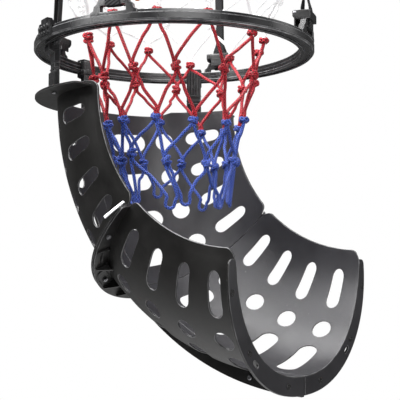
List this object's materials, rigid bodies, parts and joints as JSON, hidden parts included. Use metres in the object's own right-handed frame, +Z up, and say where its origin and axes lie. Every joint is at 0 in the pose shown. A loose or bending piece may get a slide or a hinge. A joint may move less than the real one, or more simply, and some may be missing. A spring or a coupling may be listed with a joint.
{
  "type": "basketball hoop with ball return chute",
  "caption": "Wall hoop with a knotted net, a strapped support ring below it and a swivelling perforated chute that returns the ball.",
  "frame": {"origin": "centre of the back plate's rear face", "axes": "+Z up, +Y into the backboard out of the plate's rear face, hoop reaching out along -Y"},
  "size_m": [0.5594, 0.7107, 0.9153],
  "materials": {
    "black_plastic": "black moulded plastic, satin",
    "black_metal": "black coated steel",
    "orange_paint": "orange powder coat",
    "zinc": "zinc plated steel",
    "webbing": "black woven webbing",
    "white_cord": "white braided cord",
    "red_cord": "red braided cord",
    "blue_cord": "blue braided cord",
    "acetal": "natural acetal"
  },
  "bodies": {
    "hoop": {"back_plate": "orange_paint", "rim_bracket": "orange_paint", "rim": "orange_paint", "rim_brace_left": "orange_paint", "rim_brace_right": "orange_paint", "net_white": "white_cord", "net_red": "red_cord", "net_blue": "blue_cord", "ring_half_front": "black_plastic", "ring_half_rear": "black_plastic", "ring_clasp": "black_plastic", "ring_spigot": "zinc", "strap_1": "webbing", "buckle_frame_1": "black_metal", "buckle_pin_1": "zinc", "strap_2": "webbing", "buckle_frame_2": "black_metal", "buckle_pin_2": "zinc", "strap_3": "webbing", "buckle_frame_3": "black_metal", "buckle_pin_3": "zinc", "strap_4": "webbing", "buckle_frame_4": "black_metal", "buckle_pin_4": "zinc"},
    "chute": {"carriage_left": "black_plastic", "carriage_middle": "black_plastic", "carriage_right": "black_plastic", "upper_chute_left": "black_plastic", "upper_chute_right": "black_plastic", "lower_chute_left": "black_plastic", "lower_chute_right": "black_plastic", "glide_pad_left": "acetal", "glide_pad_middle": "acetal", "glide_pad_right": "acetal", "carriage_screw_left": "zinc", "carriage_screw_middle_1": "zinc", "carriage_screw_middle_2": "zinc", "carriage_screw_right": "zinc", "joint_bolt_1": "zinc", "joint_bolt_2": "zinc", "joint_bolt_3": "zinc", "joint_bolt_4": "zinc", "joint_bolt_5": "zinc", "joint_bolt_6": "zinc", "keel_bolt_1": "zinc", "keel_bolt_2": "zinc", "keel_bolt_3": "zinc", "keel_bolt_4": "zinc"},
    "lever_1": {"buckle_lever_1": "black_metal"},
    "lever_2": {"buckle_lever_2": "black_metal"},
    "lever_3": {"buckle_lever_3": "black_metal"},
    "lever_4": {"buckle_lever_4": "black_metal"}
  },
  "joints": [
    {"name": "chute_swivel", "type": "hinge", "parent": "hoop", "child": "chute", "pos_m": [0, -0.3796, -0.2733], "axis": [0, 0, 1], "continuous": true},
    {"name": "lever_1_turn", "type": "hinge", "parent": "hoop", "child": "lever_1", "pos_m": [0.16302, -0.21884, -0.2206], "axis": [-0.7022, 0.712, 0], "range_deg": [0, 100]},
    {"name": "lever_2_turn", "type": "hinge", "parent": "hoop", "child": "lever_2", "pos_m": [-0.16076, -0.21658, -0.2206], "axis": [-0.712, -0.7022, 0], "range_deg": [0, 100]},
    {"name": "lever_3_turn", "type": "hinge", "parent": "hoop", "child": "lever_3", "pos_m": [-0.16302, -0.54036, -0.2206], "axis": [0.7022, -0.712, 0], "range_deg": [0, 100]},
    {"name": "lever_4_turn", "type": "hinge", "parent": "hoop", "child": "lever_4", "pos_m": [0.16076, -0.54262, -0.2206], "axis": [0.712, 0.7022, 0], "range_deg": [0, 100]}
  ]
}
